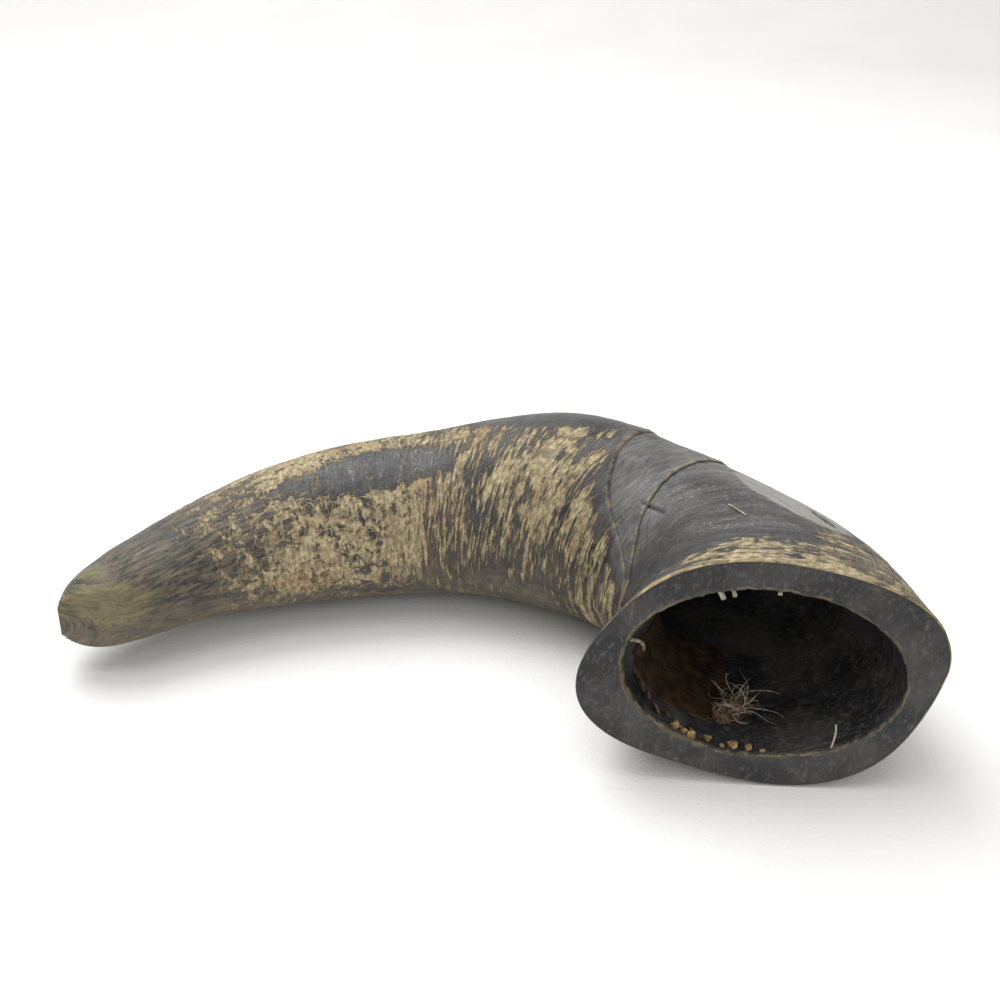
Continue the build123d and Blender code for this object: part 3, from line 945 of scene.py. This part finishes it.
for piece, node, slot in (
    (BASE_PIECE, "base_growth_cone", "horn_base"),
    (MIDDLE_PIECE, "middle_growth_cone", "horn_middle"),
    (TIP_PIECE, "tip_growth_cone", "horn_tip"),
):
    give(piece, SKIN_MATERIAL, SAWN, INSIDE)
    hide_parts(node)
    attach(piece, "root")


# ---------------------------------------------------------------- dried tissue, burrs and hair


def rough_copy(node, voxel, depth, sizes):
    """A node's shape remeshed finely and made irregular, to depth, by noise of those sizes."""
    seed, more_in_than_out = 71, 0.55
    piece = bpy.data.objects.new(node + "_rough", frame["nodes"][node].data.copy())
    bpy.context.scene.collection.objects.link(piece)
    remesh = piece.modifiers.new("remesh", "REMESH")
    remesh.mode = "VOXEL"
    remesh.voxel_size = voxel
    bpy.context.view_layer.objects.active = piece
    bpy.ops.object.modifier_apply(modifier=remesh.name)
    mesh = piece.data
    points = mesh_points(mesh)
    normals = np.zeros(len(points) * 3)
    mesh.vertex_normals.foreach_get("vector", normals)
    push = (rough_noise(points, sizes, seed) - more_in_than_out) * depth
    mesh.vertices.foreach_set("co", (points + normals.reshape(-1, 3) * push[:, None]).ravel())
    mesh.polygons.foreach_set("use_smooth", [True] * len(mesh.polygons))
    mesh.update()
    return piece


def tube(name, strands):
    """Thin round strands in one mesh. Each has points and a first radius, and it tapers."""
    taper = 0.7
    curve = bpy.data.curves.new(name, "CURVE")
    curve.dimensions = "3D"
    curve.bevel_depth = 1.0
    curve.bevel_resolution = 2
    for points, radius in strands:
        spline = curve.splines.new("NURBS")
        spline.points.add(len(points) - 1)
        for index, (knot, point) in enumerate(zip(spline.points, points)):
            knot.co = (*point, 1)
            knot.radius = radius * (1 - taper * index / (len(points) - 1))
        spline.order_u = 4
        spline.use_endpoint_u = True
    curve.use_fill_caps = True
    shape = bpy.data.objects.new(name + "_line", curve)
    bpy.context.scene.collection.objects.link(shape)
    evaluated = shape.evaluated_get(bpy.context.evaluated_depsgraph_get())
    mesh = bpy.data.meshes.new_from_object(evaluated)
    bpy.data.objects.remove(shape)
    piece = bpy.data.objects.new(name, mesh)
    mesh.polygons.foreach_set("use_smooth", [True] * len(mesh.polygons))
    bpy.context.scene.collection.objects.link(piece)
    return piece


def random_vector(low, high):
    return Vector([rng.uniform(a, b) for a, b in zip(low, high)])


def curled_fibres(count=46, steps=9):
    """Fine curled fibres that stand out of the matted clump, inside the CAD fibres' box."""
    low, high = (Vector(corner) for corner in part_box("tuft_fibres"))
    root_low, root_high = (Vector(corner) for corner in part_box("tuft_root"))
    core_low = [a * 0.75 + b * 0.25 for a, b in zip(root_low, root_high)]
    core_high = [a * 0.25 + b * 0.75 for a, b in zip(root_low, root_high)]
    jitter = 0.25
    strands = []
    for _ in range(count):
        point = random_vector(core_low, core_high)
        way = random_vector((-1, -1, 0.2), (1, 0.6, 1.3)).normalized()
        bend = random_vector((-1, -1, -1.1), (1, 1, 0.3)) * rng.uniform(0.1, 0.5)
        points = [point.copy()]
        step = rng.uniform(0.7, 1.5) * MM
        for _ in range(steps):
            turn = random_vector([-jitter] * 3, [jitter] * 3)
            way = (way + bend + turn).normalized()
            point = point + way * step
            point = Vector([min(max(p, a), b) for p, a, b in zip(point, low, high)])
            points.append(point.copy())
        strands.append((points, rng.uniform(0.07, 0.16) * MM))
    return tube("tuft_fibres_curled", strands)


for node, voxel, depth, size, material, slot in (
    ("tuft_root", 0.3, 2.2, (0.9, 0.9, 2.2), TUFT, "tissue"),
    ("tissue_crumbs", 0.12, 0.7, (0.6, 0.6, 0.6), CRUMB, "tissue"),
    ("keratin_flakes", 0.12, 0.5, (0.7, 1.6, 0.7), FLAKE, "flake"),
    ("edge_burrs", 0.1, 0.45, (0.4, 0.4, 0.8), BURR, "burr"),
):
    rough = rough_copy(node, voxel * MM, depth * MM, [side * MM for side in size])
    give(rough, material)
    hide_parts(node)
    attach(rough, "root")

FIBRES = curled_fibres()
give(FIBRES, FIBRE)
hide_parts("tuft_fibres")
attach(FIBRES, "root")

for node, material in (
    ("membrane_remnant", MEMBRANE),
    ("membrane_strand", STRAND),
    ("hooked_fibre", FIBRE),
    ("stray_fibre", FIBRE),
):
    for material_slot in frame["nodes"][node].material_slots:
        material_slot.material = material

# ---------------------------------------------------------------- floor, light and camera


def studio_floor():
    s = Shading("studio_cloth")
    place = s.object_place()
    clouds = s.noise(place, [0.08] * 3, 3)
    weave = s.noise(place, [0.0009, 0.0009, 0.0009], 2)
    base = s.mix(clouds, colour(232, 231, 229), colour(243, 242, 240))
    return s.finish(base, s.step(weave, 0.2, 0.8, 0.85, 0.95), s.bump(weave, 0.0002))


def sweep():
    """A white floor that curves up into a backdrop behind the object."""
    front, bend, radius, high, half_width, curve_steps = -3.0, 0.9, 0.5, 2.5, 4.0, 24
    profile = [(front, 0.0), (bend, 0.0)]
    for step in range(1, curve_steps + 1):
        turn = math.pi / 2 * step / curve_steps
        profile.append((bend + radius * math.sin(turn), radius * (1 - math.cos(turn))))
    profile.append((bend + radius, high))
    points = [(x, y, z) for y, z in profile for x in (-half_width, half_width)]
    faces = [(2 * i, 2 * i + 1, 2 * i + 3, 2 * i + 2) for i in range(len(profile) - 1)]
    mesh = bpy.data.meshes.new("studio_floor")
    mesh.from_pydata(points, [], faces)
    mesh.polygons.foreach_set("use_smooth", [True] * len(faces))
    backdrop = bpy.data.objects.new("studio_floor", mesh)
    bpy.context.scene.collection.objects.link(backdrop)
    return backdrop


floor = sweep()
give(floor, studio_floor())


def soft_light(name, place, size, power):
    """A round soft light that faces the object, which stands at the origin."""
    light = bpy.data.lights.new(name, "AREA")
    light.shape = "DISK"
    light.size = size
    light.energy = power
    lamp = bpy.data.objects.new(name, light)
    lamp.location = place
    lamp.rotation_euler = (-Vector(place)).to_track_quat("-Z", "Y").to_euler()
    bpy.context.scene.collection.objects.link(lamp)


soft_light("key", (-0.4, 0.5, 0.9), 0.8, 8)
soft_light("top", (-0.1, 0.1, 1.2), 1.3, 6)
soft_light("fill", (0.2, -1.0, 0.6), 1.0, 3)

world = bpy.data.worlds.new("studio")
bpy.context.scene.world = world
world.use_nodes = True
background = world.node_tree.nodes["Background"]
background.inputs["Color"].default_value = (1.0, 1.0, 1.0, 1)
background.inputs["Strength"].default_value = 0.55

CAMERA_PLACE = Vector((6.76, -307.96, 196.76)) * MM
CAMERA_DOWN, CAMERA_TURN, CAMERA_ROLL = (math.radians(a) for a in (26.81, -0.55, 1.35))


def look_through():
    """The photo's camera: how far it looks down, turns from straight ahead and rolls."""
    ahead = Vector((
        math.sin(CAMERA_TURN) * math.cos(CAMERA_DOWN),
        math.cos(CAMERA_TURN) * math.cos(CAMERA_DOWN),
        -math.sin(CAMERA_DOWN),
    ))
    level = Vector((math.cos(CAMERA_TURN), -math.sin(CAMERA_TURN), 0))
    upward = level.cross(ahead)
    right = level * math.cos(CAMERA_ROLL) + upward * math.sin(CAMERA_ROLL)
    up = upward * math.cos(CAMERA_ROLL) - level * math.sin(CAMERA_ROLL)
    lens = bpy.data.cameras.new("camera")
    lens.lens = 50
    lens.sensor_width = 36
    lens.clip_start = 0.01
    camera = bpy.data.objects.new("camera", lens)
    bpy.context.scene.collection.objects.link(camera)
    camera.matrix_world = Matrix((
        (right.x, up.x, -ahead.x, CAMERA_PLACE.x),
        (right.y, up.y, -ahead.y, CAMERA_PLACE.y),
        (right.z, up.z, -ahead.z, CAMERA_PLACE.z),
        (0, 0, 0, 1),
    ))
    bpy.context.scene.camera = camera


look_through()
bpy.context.scene.view_settings.view_transform = "Standard"


def plain(box):
    return [[float(value) for value in corner] for corner in box]
